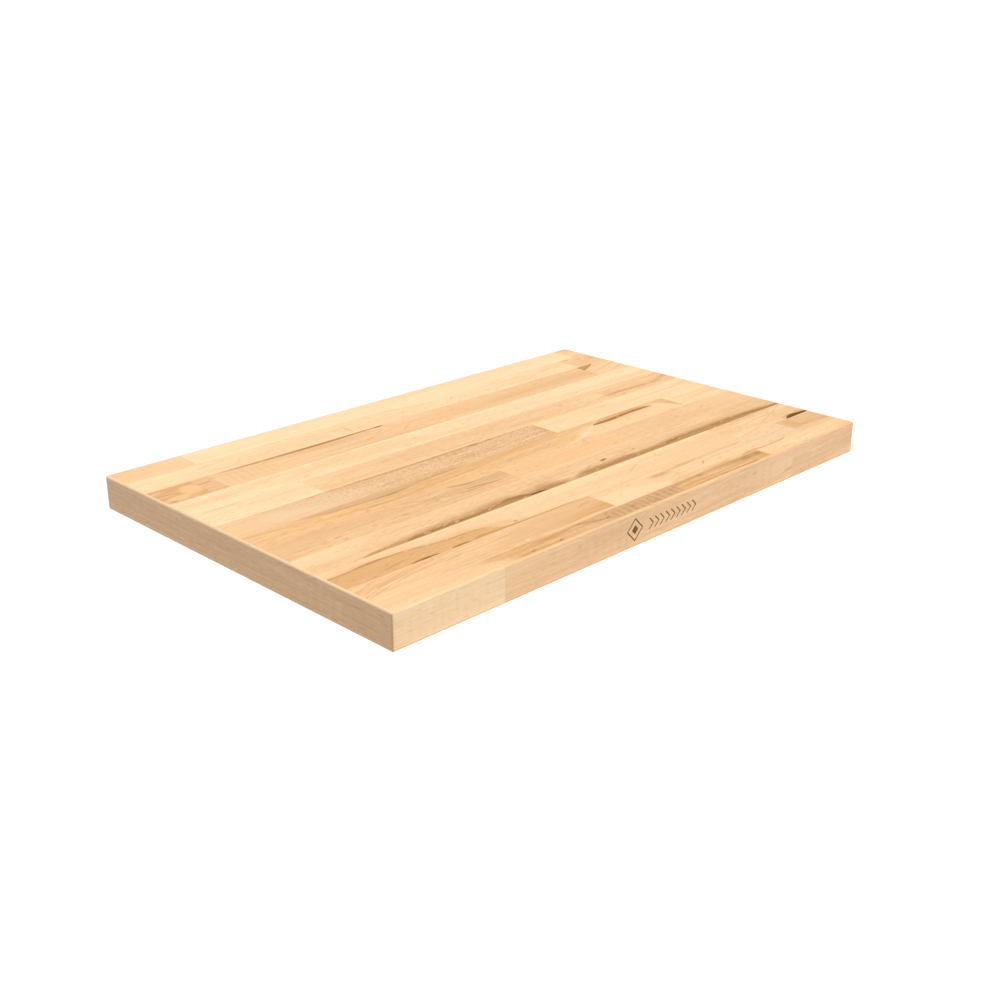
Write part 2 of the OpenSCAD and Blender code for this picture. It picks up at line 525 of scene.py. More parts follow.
@piece
def stave_03_middle(wood):
    wood.body(PEACH, ROSE, 1.0)
    wood.wash([(74, 102, 18), (140, 108, 12), (200, 116, 0)], PEACH, 0.8)
    wood.wash([(130, 84, 0), (170, 86, 8), (250, 86, 8), (300, 86, 0)], TAN, 0.8)
    wood.wash([(240, 112, 0), (320, 104, 16), (430, 98, 22), (650, 98, 22)], GOLD, 0.5, 14)
    wood.wash([(380, 104, 0), (450, 102, 10), (560, 100, 14), (650, 100, 18)], TAN, 0.6, 12)
    wood.curl([(74, 100, 0), (90, 100, 18), (130, 100, 18), (150, 100, 0)], TAN, 9, 0.1, 0.4)
    wood.curl([(480, 98, 0), (500, 98, 16), (560, 98, 16), (600, 98, 0)], TAN, 22, 0, 0.4)
    wood.streak([(74, 74.6, 0), (84, 77, 1), (105, 78, 2.4), (165, 79, 3.4), (215, 79.6, 3.8),
                 (240, 79, 3.6), (280, 78.2, 3), (304, 77.6, 2.6), (318, 76, 1), (326, 72, 0)],
                RUSSET, 1.0, 2)
    wood.streak([(130, 76, 0), (150, 78.4, 1), (190, 79, 2), (235, 79, 2.2), (268, 78, 2),
                 (290, 76, 0)], BROWN, 0.7)
    wood.spot(307, 77.2, 15, 6.4, BROWN, 1.4, -0.1)
    wood.wash([(306, 80, 0), (316, 84, 3), (330, 90, 0)], TAN, 0.8, 4)
    wood.streak([(260, 107, 0), (272, 105, 1.8), (280, 103, 0)], AMBER)
    wood.streak([(320, 107, 0), (330, 101, 1.6), (340, 96, 0)], AMBER, 0.8)
    wood.streak([(440, 105, 0), (480, 104, 2), (540, 101, 2), (580, 100, 0)], AMBER, 0.5, 2)
    wood.ticks([(512, 80), (368, 103), (412, 92), (560, 88), (610, 84), (226, 108)], AMBER,
               (12, 3), 0.6)
    wood.flecks(TAN, 0.35)


@piece
def stave_03_right(wood):
    wood.body(HONEY, PEACH, 0.9)
    wood.wash([(650, 87, 6), (680, 83, 6), (711, 81, 6)], ROSE, 0.7, 8)
    wood.streak([(650, 83, 9.4), (655, 82, 8), (664, 80.5, 5.6), (672, 79, 3.4), (684, 75, 0)],
                RUSSET, 1.1, 1)
    wood.streak([(650, 89, 2), (658, 86.4, 1.8), (666, 83, 1.6), (676, 79, 0)], BROWN, 0.7)
    wood.streak([(650, 106, 1), (664, 102, 1.6), (684, 96, 2), (711, 88, 1.8)], TAN, 0.8)
    wood.streak([(672, 118, 0), (690, 111, 1.8), (711, 102, 2.4)], TAN, 0.8)


# Row 4
@piece
def stave_04_full(wood):
    wood.body(CREAM, HONEY, 0.9)
    wood.wash([(0, 154, 8), (60, 152, 12), (110, 154, 6), (160, 158, 0)], PALE, 0.8)
    wood.wash([(0, 124, 4), (60, 124, 6), (110, 122, 0)], PALE, 0.5)
    wood.wash([(440, 124, 0), (520, 128, 9), (600, 132, 13), (711, 134, 14)], PALE, 0.9, 12)
    wood.streak([(0, 133, 2), (20, 136, 2.6), (48, 142, 3), (76, 149, 2.4), (104, 158, 2)],
                PEACH, 0.8, 4)
    wood.wash([(115, 140, 0), (160, 136, 12), (230, 136, 16), (290, 138, 14), (350, 146, 0)],
              PEACH, 0.7, 14)
    wood.streak([(60, 142, 0), (90, 149, 1.6), (130, 157, 1.4)], PALE, 0.8)
    wood.wash([(185, 121, 0), (260, 121, 2.4), (711, 121, 2.4)], PALE, 0.9, 2)
    wood.arches(120, 137, 0.05, ROSE, 6, 0.35, [(115, 140, 0), (170, 138, 20), (320, 138, 0)])
    wood.ticks([(177, 125), (174, 135), (202, 136), (218, 129), (106, 136), (232, 143), (146, 151),
                (262, 133), (288, 148), (310, 138)], ROSE, (11, 3.4))
    wood.spot(570, 149, 10, 3, TAN, 1.0, -0.6)
    wood.ticks([(388, 148), (368, 141), (398, 133), (436, 136), (680, 128), (640, 146)], PEACH)
    wood.flecks(ROSE, 0.3)


# Row 5; the front edge strips come from this board too
@piece
def stave_05_left(wood):
    wood.body(PALE, HONEY, 0.5)
    wood.streak([(10, 161.5, 0), (20, 161.5, 1.8), (50, 162, 1.8), (58, 161.5, 0)], ROSE, 1.0)
    wood.spot(78, 162, 6, 3.4, ROSE, 0.9, -0.4)
    wood.streak([(54, 172.5, 0), (66, 171, 1.6), (76, 168.5, 0)], ROSE)
    wood.ticks([(76, 178), (20, 192), (104, 171), (118, 190), (36, 180), (92, 187)], ROSE)
    wood.wash([(40, 185, 0), (90, 182, 8), (134, 182, 9)], HONEY, 0.6)
    wood.flecks(PEACH, 0.35)


@piece
def stave_05_middle(wood):
    wood.body(PEACH, ROSE, 1.0, 0.4)
    wood.wash([(134, 172, 12), (170, 168, 8), (210, 164, 0)], HONEY, 0.7)
    wood.wash([(470, 178, 0), (520, 178, 12), (585, 178, 20)], HONEY, 0.8, 14)
    wood.streak([(134, 189, 4), (200, 189, 4), (280, 190, 2), (330, 190, 0)], ROSE, 0.8, 4)
    wood.streak([(134, 197, 1.6), (460, 197, 1.6), (585, 197, 1.6)], HONEY, 0.9)
    wood.streak([(380, 190, 0), (430, 188, 3), (470, 187, 3), (520, 187, 0)], TAN, 0.8, 3)
    wood.streak([(562, 189, 0), (573, 186, 2.2), (585, 184.5, 2.4)], AMBER, 0.8)
    for line in (167, 171, 176, 181, 185):
        wood.streak([(134, line, 0.8), (300, line, 1), (440, line, 0)], ROSE, 0.5, 1, 3)
    wood.curl([(230, 180, 0), (250, 180, 20), (300, 180, 20), (340, 180, 0)], TAN, 12, 0, 0.3)
    wood.curl([(480, 180, 0), (500, 180, 20), (530, 180, 20), (560, 180, 0)], TAN, 15, 0, 0.25)
    wood.spot(233, 173, 8, 8, TAN, 0.9)
    wood.spot(514, 173, 11, 5, AMBER, 0.8)
    wood.ticks([(548, 172), (549, 189), (453, 194), (362, 191), (424, 189), (388, 163), (466, 169)],
               TAN, (10, 3))
    wood.flecks(TAN, 0.35)


@piece
def stave_05_right(wood):
    wood.body(PEACH, ROSE, 1.0)
    wood.wash([(585, 164, 5), (640, 165, 5), (680, 163, 0)], HONEY, 0.6)
    wood.wash([(585, 182, 9), (640, 184, 8), (690, 180, 8), (711, 174, 10)], TAN, 0.8)
    wood.streak([(585, 186, 2.8), (606, 184.5, 3.4), (640, 186, 3), (672, 187, 2.6), (690, 182, 2.6),
                 (711, 176, 3.4)], RUSSET, 0.65, 2.4)
    wood.streak([(592, 185.5, 0), (608, 184.5, 1.8), (628, 185.5, 0)], RUSSET, 0.7)
    wood.streak([(664, 192, 0), (676, 190, 1.8), (695, 184, 1.6), (711, 180, 1.4)], RUSSET, 0.6)
    wood.streak([(680, 172, 0), (695, 168, 1.6), (711, 162, 1.8)], TAN, 0.8)
    wood.streak([(670, 196, 0), (690, 192, 1.6), (711, 187, 1.8)], TAN, 0.8)
    wood.spot(606, 195, 9, 3, AMBER, 1.0, -0.4)
    wood.wash([(612, 195, 0), (625, 196, 3), (645, 195, 0)], HONEY, 0.8, 4)


# Row 6
@piece
def stave_06_left(wood):
    wood.body(PEACH, GREY_TAN, 0.5, 0.3)
    wood.wash([(0, 219, 24), (40, 219, 24), (80, 219, 12), (100, 219, 0)], PEACH, 0.8, 14)
    wood.wash([(40, 219, 0), (70, 219, 24), (120, 219, 24), (170, 224, 14), (200, 230, 0)], BEIGE,
              0.8, 16)
    wood.lace([(40, 204, 0), (90, 210, 14), (160, 218, 26), (437, 219, 32)], BROWN, 0.33)
    wood.lace([(40, 204, 0), (90, 210, 14), (160, 218, 26), (437, 219, 32)], PEACH, 0.6, 3.1)
    wood.streak([(120, 201, 0), (165, 202, 2.4), (240, 202, 2.4), (330, 202, 2.6), (380, 202, 1.4),
                 (437, 201, 1)], RUSSET, 0.7, 2)
    wood.curl([(240, 206, 0), (280, 207, 10), (310, 207, 10), (335, 204, 0)], RUSSET, 12, 0.1, 0.4)
    wood.spot(340, 201, 22, 4, BROWN, 0.8)
    wood.spot(366, 201, 13, 4, BROWN, 0.6)
    wood.spot(114, 202, 12, 4, RUSSET, 0.6)
    wood.spot(436, 214, 9, 40, RUSSET, 0.6)


@piece
def stave_06_right(wood):
    wood.body(CREAM, HONEY, 0.9)
    wood.wash([(437, 202, 3), (560, 201, 5), (600, 203, 7), (650, 202, 6), (660, 201, 3),
               (711, 202, 3)], PALE, 1.0)
    wood.wash([(560, 224, 0), (600, 224, 6), (650, 226, 6), (690, 228, 0)], PALE, 0.5)
    wood.streak([(520, 210, 0), (535, 210, 1.4), (560, 210.5, 1.8), (570, 211, 0)], ROSE, 0.8)
    wood.spot(550, 210, 12, 5, TAN, 0.9)
    wood.streak([(560, 211, 0), (585, 215, 1.6), (610, 219, 2), (640, 220, 2), (680, 217, 1.8),
                 (711, 213, 2.4)], PEACH, 0.9)
    wood.wash([(670, 215, 0), (690, 215, 8), (711, 218, 12)], PEACH, 0.7)
    wood.curl([(530, 222, 0), (545, 222, 16), (560, 222, 16), (575, 222, 0)], HONEY, 14, 0, 0.7)
    wood.ticks([(448, 228), (470, 216), (492, 231), (520, 230), (602, 231), (640, 232)], PEACH,
               (14, 3))
    wood.flecks(PEACH, 0.35)


# Row 7
@piece
def stave_07_left(wood):
    wood.body(GOLD, TAN, 0.6)
    wood.wash([(0, 277, 7), (150, 277, 6), (300, 278, 6), (400, 275, 12), (480, 267, 22),
               (624, 267, 22)], ROSE, 0.3, 12)
    wood.wash([(420, 280, 0), (450, 268, 12), (480, 266, 22), (590, 266, 22), (606, 262, 24),
               (624, 262, 24)], HONEY, 0.9, 12)
    wood.wash([(0, 242, 4), (90, 247, 8), (200, 251, 13), (300, 249, 11), (400, 244, 9),
               (450, 241, 4), (480, 241, 0)], AMBER, 0.6, 9)
    wood.wash([(50, 241, 0), (90, 242, 5), (130, 243, 8), (180, 244, 8), (230, 241, 5),
               (290, 241, 0)], GREY_TAN, 0.8, 3)
    wood.streak([(64, 240, 0), (100, 247, 2), (150, 250, 2), (184, 251, 2.8), (208, 247, 2),
                 (245, 243, 2.8), (280, 241.5, 2.2), (296, 240, 0)], RUSSET, 0.8, 2.2)
    wood.streak([(150, 251, 0), (176, 251, 1.8), (192, 250, 0)], BROWN, 0.6)
    wood.streak([(0, 241, 3), (22, 243, 3), (45, 247, 2.6), (70, 250, 2), (90, 253, 0)],
                AMBER, 0.8, 3)
    wood.streak([(40, 253, 0), (90, 258, 3), (140, 263, 4), (165, 265, 4), (220, 262, 4),
                 (262, 260, 3.6), (300, 256, 3), (345, 248, 3), (385, 242, 2.4), (420, 240, 0)],
                ORANGE, 0.7, 4)
    wood.streak([(226, 262, 0), (245, 261, 1.6), (270, 260, 0)], RUSSET, 0.6)
    wood.streak([(128, 263, 0), (145, 264, 1.6), (166, 265, 0)], RUSSET, 0.4)
    wood.spot(58, 263, 12, 3.4, AMBER)
    wood.ticks([(22, 263), (40, 256), (84, 267), (14, 251), (130, 271), (300, 269), (338, 263)],
               AMBER, (13, 3), 0.6)
    wood.wash([(396, 280, 0), (425, 275, 3), (450, 268, 4), (475, 256, 4), (496, 244, 3),
               (506, 238, 2)], PALE, 1.0, 5)
    wood.streak([(484, 251, 0), (500, 247, 4.6), (530, 244.5, 6.6), (560, 244.5, 6.6),
                 (580, 246, 5), (594, 250, 0)], AMBER, 0.9, 2)
    wood.streak([(535, 245, 0), (550, 245, 3), (575, 245.5, 2.6), (588, 247, 0)], RUSSET, 0.7, 3)
    wood.streak([(484, 250.6, 0), (497, 250.2, 3.2), (520, 250.2, 3.8), (545, 248.4, 3.2),
                 (575, 248.4, 3.2), (594, 250.4, 0)], BROWN, 1.2, 2)
    wood.wash([(484, 257, 0), (500, 256, 3), (560, 254, 3), (590, 254, 0)], ORANGE, 0.4, 6)
    wood.streak([(586, 242, 0), (596, 251, 4), (606, 263, 5), (612, 273, 4), (622, 280, 0)],
                CREAM, 0.8, 5)
    wood.streak([(590, 237, 0), (602, 241, 5), (612, 247, 10), (624, 257, 22)], TAN, 0.95, 4)
    wood.spot(620, 257, 10, 36, AMBER, 0.5)
    wood.flecks(AMBER, 0.35)


@piece
def stave_07_right(wood):
    wood.body(CREAM, PEACH, 0.6)
    wood.flecks(PEACH, 0.25)


# Row 8
@piece
def stave_08_left(wood):
    wood.body(ROSE, TAN, 1.0)
    wood.wash([(0, 284, 4), (90, 285, 5), (130, 284, 0)], PEACH, 0.4)
    wood.wash([(160, 293, 0), (220, 291, 8), (302, 289, 12)], GREY_TAN, 0.7, 10)
    wood.streak([(136, 280, 0), (152, 284, 1.6), (166, 289, 1.6), (188, 293, 0)], AMBER, 0.8)
    wood.streak([(162, 278, 0), (172, 281.5, 2), (186, 286.5, 1.8), (200, 290, 1.4), (216, 292, 0)],
                AMBER, 0.9)
    wood.streak([(224, 278, 0), (238, 281, 2.8), (250, 284.5, 2.6), (260, 285, 0)], RUSSET, 0.8)
    wood.streak([(220, 298, 0), (236, 300, 2), (252, 301, 1.8), (268, 300, 0)], RUSSET, 0.75)
    wood.streak([(238, 295, 0), (250, 296, 2.2), (270, 298.5, 2.4), (288, 301, 0)], RUSSET, 1.0)
    wood.streak([(258, 285, 0), (275, 289, 1.6), (302, 294, 1.8)], AMBER, 0.7)
    wood.spot(68, 300.5, 10, 3.6, RUSSET, 0.8)
    wood.spot(52, 305, 13, 4, AMBER, 0.7)
    wood.spot(111, 303.5, 11, 5, AMBER, 0.7)
    wood.spot(151, 303, 15, 3.6, RUSSET, 0.7, 0.2)
    wood.ticks([(201, 290), (199, 296), (203, 280), (208, 312)], RUSSET, (9, 3), 0.7)
    wood.ticks([(33, 299), (82, 280), (56, 289), (90, 294), (130, 309), (180, 306), (250, 307)],
               AMBER, (10, 3), 0.7)
    wood.flecks(AMBER, 0.4)


@piece
def stave_08_right(wood):
    wood.body(PEACH, ROSE, 1.0)
    wood.wash([(302, 297, 18), (400, 297, 18), (470, 297, 10), (510, 297, 0)], GOLD, 0.6, 10)
    wood.wash([(560, 285, 0), (620, 285, 8), (711, 291, 20)], HONEY, 0.5, 12)
    for line, reach in ((281, 440), (286, 380), (292, 520), (299, 470), (306, 400)):
        wood.streak([(302, line, 1), (reach - 60, line, 1.4), (reach, line + 1, 0)], TAN, 0.5, 1.4)
    wood.curl([(470, 296, 0), (510, 296, 22), (550, 296, 22), (590, 296, 0)], ROSE, 20, 0, 0.6)
    wood.ticks([(316, 293), (376, 310), (437, 280), (456, 310), (340, 299)], AMBER, (9, 3), 0.7)
    wood.spot(434, 285, 15, 4, AMBER, 0.6)
    wood.spot(580, 298, 7, 3.4, AMBER, 0.8, -0.2)
    wood.spot(566, 303, 10, 3, TAN, 0.8, -0.5)
    wood.streak([(628, 298, 0), (634, 294.5, 1.8), (642, 292, 0)], AMBER)
    wood.flecks(TAN, 0.3)


# Row 9, with the long mineral streak
@piece
def stave_09_full(wood):
    wood.body(PEACH, ROSE, 1.0)
    wood.wash([(0, 325, 16), (50, 327, 14), (110, 318, 5), (280, 317, 4), (320, 319, 6),
               (380, 317, 4), (711, 318, 4)], HONEY, 0.9, 9)
    wood.wash([(0, 317, 6), (40, 317, 6), (90, 315, 3), (420, 315, 3), (520, 315, 0)], CREAM, 0.6, 5)
    wood.wash([(120, 343, 0), (180, 341, 6), (260, 339, 8), (300, 343, 4), (380, 341, 6),
               (560, 339, 9), (711, 335, 12)], TAN, 0.6, 12)
    wood.curl([(240, 326, 0), (262, 326, 16), (310, 326, 16), (330, 326, 0)], TAN, 14, 0.1, 0.5)
    wood.curl([(420, 329, 0), (436, 329, 16), (450, 329, 16), (464, 329, 0)], TAN, 16, 0, 0.4)
    wood.curl([(630, 335, 0), (645, 335, 16), (665, 335, 16), (690, 335, 0)], TAN, 18, 0, 0.4)
    wood.streak([(36, 367, 0), (56, 356, 3), (80, 355.5, 8), (110, 355, 13), (150, 355, 18),
                 (200, 355, 19), (236, 355, 22), (250, 355, 22), (268, 355, 17), (286, 355, 18),
                 (304, 355, 21), (320, 355, 18), (335, 355, 10), (350, 356, 5), (370, 367, 0)],
                SCORCH, 1.0, 15, 4)
    wood.streak([(322, 367, 0), (340, 356, 5), (352, 355, 10.6), (366, 355, 15), (400, 355, 14.4),
                 (436, 355, 15.2), (446, 355, 13), (475, 355, 13), (500, 355, 15.5),
                 (560, 355, 16.6), (600, 355, 16.4), (640, 355, 15), (680, 355, 12.4),
                 (711, 355, 9)], SCORCH, 1.0, 7, 3)
    wood.streak([(44, 363, 0), (56, 355, 1.8), (80, 352, 3), (104, 350.8, 2.6), (122, 350, 0)],
                RUSSET, 1.0)
    wood.streak([(104, 357, 0), (116, 352, 3.4), (130, 351.4, 4), (146, 351.6, 3.4),
                 (165, 351.6, 3.2), (200, 351, 2.8), (220, 350, 2.6), (238, 349, 1.8),
                 (254, 352, 0)], BROWN, 1.0, 2.6, 2)
    wood.streak([(232, 353, 0), (244, 346, 2.6), (256, 347.5, 4.6), (268, 349, 4.2), (280, 352, 3),
                 (296, 354.5, 1.8), (304, 359, 0)], BROWN, 1.1, 2)
    wood.streak([(272, 354, 0), (282, 353, 2.4), (290, 353.4, 2.6), (298, 355, 1.4), (302, 359, 0)],
                UMBER, 0.9)
    wood.streak([(358, 347, 0), (370, 349, 1.8), (386, 351, 1.8), (410, 350, 1.6), (434, 349, 2),
                 (444, 347, 0)], BROWN, 0.5, 2, 3)
    wood.streak([(490, 351, 0), (503, 348.6, 2.8), (516, 348.2, 2.8), (530, 347, 1.4),
                 (560, 347, 1.6), (620, 348, 2.2), (640, 348.4, 3), (660, 350, 2.8),
                 (711, 354, 2.4)], BROWN, 0.8, 2, 2)
    wood.spot(510, 348.4, 24, 5, BROWN, 0.8)
    wood.spot(404, 336.5, 26, 10, ROSE, 0.7, -0.15)
    wood.spot(405, 336, 13, 5, BROWN, 1.5, -0.12)
    wood.spot(440, 336.5, 9, 3, RUSSET, 0.7, -0.2)
    wood.spot(456, 335.5, 7, 3, RUSSET, 0.7, -0.2)
    wood.streak([(370, 343, 0), (377, 340, 1.8), (384, 336, 0)], RUSSET, 0.7)
    wood.ticks([(352, 333), (84, 336), (10, 336), (144, 336), (155, 332), (60, 325), (96, 322),
                (110, 319), (130, 325), (366, 323), (398, 323), (424, 321), (530, 323), (560, 319),
                (616, 324), (640, 321), (536, 335), (500, 327), (216, 327), (186, 323)], TAN,
               (12, 3), 0.7)
    wood.flecks(TAN, 0.4)


# Row 10
@piece
def stave_10_left(wood):
    wood.body(HONEY, PEACH, 0.8)
    wood.wash([(0, 357, 0), (140, 357, 2), (300, 358, 4), (565, 358, 4)], CREAM, 0.9, 3)
    wood.wash([(210, 371, 0), (250, 366, 8), (340, 365, 10), (390, 363, 6), (440, 361, 0)],
              CREAM, 0.6)
    wood.wash([(0, 369, 9), (60, 366, 8), (110, 371, 8), (190, 384, 13), (235, 396, 0)], ROSE,
              1.1, 8)
    wood.streak([(0, 384, 16), (30, 383, 16), (56, 382, 17), (90, 383, 15.5), (110, 385, 13.5),
                 (125, 387, 12), (165, 388.5, 11), (185, 391, 9), (196, 395, 6), (230, 398, 4),
                 (262, 399, 3), (313, 399, 2), (340, 403, 0)], AMBER, 1.0, 2.4, 2)
    wood.streak([(0, 369.4, 2.4), (20, 368.8, 2.2), (50, 366.8, 2.8), (80, 368, 2.2),
                 (102, 370.4, 2.4), (120, 374.4, 2.2), (145, 377, 2.2), (170, 378.6, 2.2),
                 (185, 382.6, 1.6), (200, 389, 0)], BROWN, 0.55, 2, 2)
    wood.streak([(30, 368, 0), (54, 366.6, 1.4), (70, 367.4, 0)], BROWN, 0.5)
    wood.streak([(40, 389, 0), (60, 386.5, 1.8), (88, 383, 0)], RUSSET, 0.8)
    wood.ticks([(60, 381), (19, 385), (92, 379), (36, 393), (150, 383), (8, 376)], RUSSET)
    wood.streak([(62, 403, 0), (78, 396, 2), (90, 395, 3.4), (100, 395, 3.4), (112, 396, 2),
                 (120, 403, 0)], BROWN, 1.1)
    wood.spot(96, 395, 16, 3.4, UMBER, 0.7)
    wood.streak([(116, 403, 0), (128, 395.4, 2), (138, 394.6, 2.6), (150, 395.4, 2), (160, 403, 0)],
                BROWN, 1.0)
    wood.streak([(144, 403, 0), (156, 395, 2), (166, 393, 3), (190, 394, 2.2), (250, 395, 2.2),
                 (300, 396, 1.4), (340, 403, 0)], RUSSET, 1.0)
    wood.spot(167, 392, 12, 6, RUSSET, 0.7)
    wood.spot(215, 390, 7, 5, BROWN, 0.6)
    wood.ticks([(308, 379), (263, 378), (282, 371), (340, 387), (378, 380), (426, 389), (446, 375),
                (488, 379), (520, 371), (540, 387), (226, 383)], ROSE, (9, 3.4))
    wood.streak([(386, 385, 0), (402, 378, 1.6), (414, 372.5, 2.2), (422, 370, 0)], TAN, 0.9)
    wood.streak([(508, 381, 0), (520, 388, 2), (530, 397, 2), (534, 399, 0)], PEACH, 0.8, 3)
    wood.wash([(400, 387, 0), (470, 383, 14), (565, 383, 18)], PEACH, 0.6, 14)
    wood.flecks(ROSE, 0.35)


@piece
def stave_10_right(wood):
    wood.body(HONEY, ROSE, 0.8)
    wood.wash([(565, 360, 5), (580, 360, 5), (604, 359, 0)], GOLD, 0.8, 4)
    wood.wash([(600, 397, 0), (650, 385, 5), (690, 379, 9), (711, 375, 12)], ROSE, 0.8)
    for shift in (0, 9, 18, 28, 40, 52):
        wood.streak([(588 + shift, 396 - shift / 3, 0), (618 + shift, 388 - shift / 3, 1.2),
                     (648 + shift, 376 - shift / 3, 1.2), (690 + shift, 364 - shift / 3, 0)],
                    TAN, 0.5, 1.2, 1)
    wood.streak([(568, 396, 0), (600, 393.5, 1.8), (622, 392, 0)], TAN, 0.9)
    wood.spot(668, 371, 12, 22, TAN, 0.7)
    wood.ticks([(586, 368), (612, 373), (684, 363), (700, 372)], ROSE, (10, 3))
    wood.spot(701, 387, 22, 10, AMBER, 0.7)
    wood.streak([(658, 394, 0), (668, 390, 3), (680, 388, 4), (692, 389, 3), (711, 389, 3)],
                AMBER, 0.9, 2.4)
    wood.streak([(662, 399, 0), (671, 393.8, 3.6), (684, 392, 4.8), (698, 393.2, 4),
                 (711, 393.8, 3.6)], UMBER, 1.1, 1.8, 1)


# Row 11
@piece
def stave_11_left(wood):
    wood.body(PEACH, ROSE, 0.9)
    wood.wash([(0, 429, 8), (50, 431, 8), (110, 435, 0)], HONEY, 0.8)
    wood.wash([(100, 433, 0), (160, 425, 12), (220, 415, 24), (313, 415, 28)], TAN, 0.9, 16)
    wood.wash([(170, 435, 0), (230, 427, 8), (313, 421, 16)], AMBER, 0.6, 10)
    wood.wash([(240, 397, 0), (280, 397, 3), (313, 398, 5)], AMBER, 0.6, 5)
    for start, rise in ((407, 10), (413, 14), (417, 17), (422, 20), (427, 20)):
        wood.streak([(0, start, 1), (18, start - rise * 0.35, 1.3), (50, start - rise * 0.7, 1.4),
                     (100, start - rise, 1.1), (170, start - rise * 1.25, 0)], AMBER, 0.7, 1.1, 2)
    wood.streak([(0, 409, 2.6), (10, 406, 2.6), (22, 401, 2.4), (44, 396, 1), (60, 389, 0)],
                AMBER, 0.6, 2)
    wood.streak([(20, 411, 0), (36, 409.5, 2), (54, 406, 0)], AMBER, 0.8)
    for start, end, reach in ((429, 419, 0.9), (432, 425, 1.1), (434, 412, 1.2), (424, 405, 0.9)):
        wood.streak([(30, start, 0), (100, start - 3, reach), (200, start - 7, reach),
                     (313, end, reach)], AMBER, 0.45, 1.2, 2)
    wood.streak([(104, 412, 0), (112, 410.5, 1.8), (128, 409, 0)], AMBER)
    wood.streak([(156, 409, 0), (178, 409, 2.2), (194, 411, 0)], AMBER, 0.6)
    wood.streak([(230, 432, 0), (260, 429, 2), (313, 428, 3)], ORANGE, 0.9, 2)
    wood.streak([(280, 422, 0), (298, 421.5, 2.4), (313, 421, 3)], ORANGE, 0.9, 2)
    wood.streak([(280, 408, 0), (291, 406.5, 1.8), (303, 406, 0)], RUSSET, 0.7)
    wood.spot(190, 430, 8, 6, HONEY, 0.9)
    wood.streak([(196, 435, 0), (230, 433, 1.4), (313, 433, 1.6)], HONEY, 0.7)


@piece
def stave_11_middle(wood):
    wood.body(HONEY, PEACH, 0.6)
    wood.wash([(313, 419, 18), (370, 423, 14), (410, 429, 4), (430, 431, 0)], CREAM, 0.6)
    wood.wash([(556, 414, 0), (575, 414, 14), (641, 414, 16)], BEIGE, 0.7, 8)
    wood.wash([(313, 397, 2), (380, 397, 3), (480, 397, 2), (520, 397, 0)], ROSE, 0.6, 3)
    wood.streak([(390, 406, 0), (400, 407, 5), (424, 407.5, 5.6), (432, 406, 3.6), (450, 405, 4.6),
                 (474, 405, 4), (500, 404, 3), (556, 404, 3.4), (564, 403, 0)], AMBER, 0.75, 4, 4)
    wood.spot(412, 408, 26, 8, RUSSET, 0.3)
    wood.spot(452, 405, 26, 6, RUSSET, 0.3)
    wood.spot(429, 422, 13, 24, ROSE, 0.6)
    wood.wash([(400, 432, 0), (416, 430, 5), (480, 431, 5), (560, 432, 3), (600, 433, 0)],
              ROSE, 0.9, 4)
    wood.streak([(440, 434, 0), (470, 434, 1.4), (496, 433, 1.8), (504, 433, 0)], RUSSET, 0.7)
    wood.streak([(520, 434, 0), (534, 432, 2.4), (548, 431.5, 2.4), (560, 433, 1.6), (598, 433, 1.8),
                 (608, 431, 0)], RUSSET, 0.8)
    wood.streak([(470, 420, 0), (475, 416.5, 2), (481, 413, 0)], RUSSET, 0.8)
    wood.ticks([(612, 413), (594, 414), (628, 400), (602, 400), (566, 409), (524, 414), (556, 425),
                (584, 429), (612, 427), (500, 421), (340, 401), (364, 405)], TAN, (11, 3))
    wood.flecks(TAN, 0.35)


@piece
def stave_11_right(wood):
    wood.body(HONEY, PEACH, 0.8)
    wood.wash([(641, 409, 16), (655, 409, 17), (680, 411, 17), (711, 413, 18)], TAN, 1.1, 5)
    wood.wash([(641, 431, 8), (711, 432, 6)], GREY_TAN, 0.35, 6)
    wood.spot(655, 410, 20, 30, AMBER, 0.6)
    wood.streak([(654, 415, 0), (666, 419, 3), (682, 418.5, 2), (700, 421, 2.8), (711, 422, 3.6)],
                RUSSET, 0.6, 3)
    wood.wash([(676, 405, 0), (684, 405, 5), (694, 406, 0)], PEACH, 0.7)


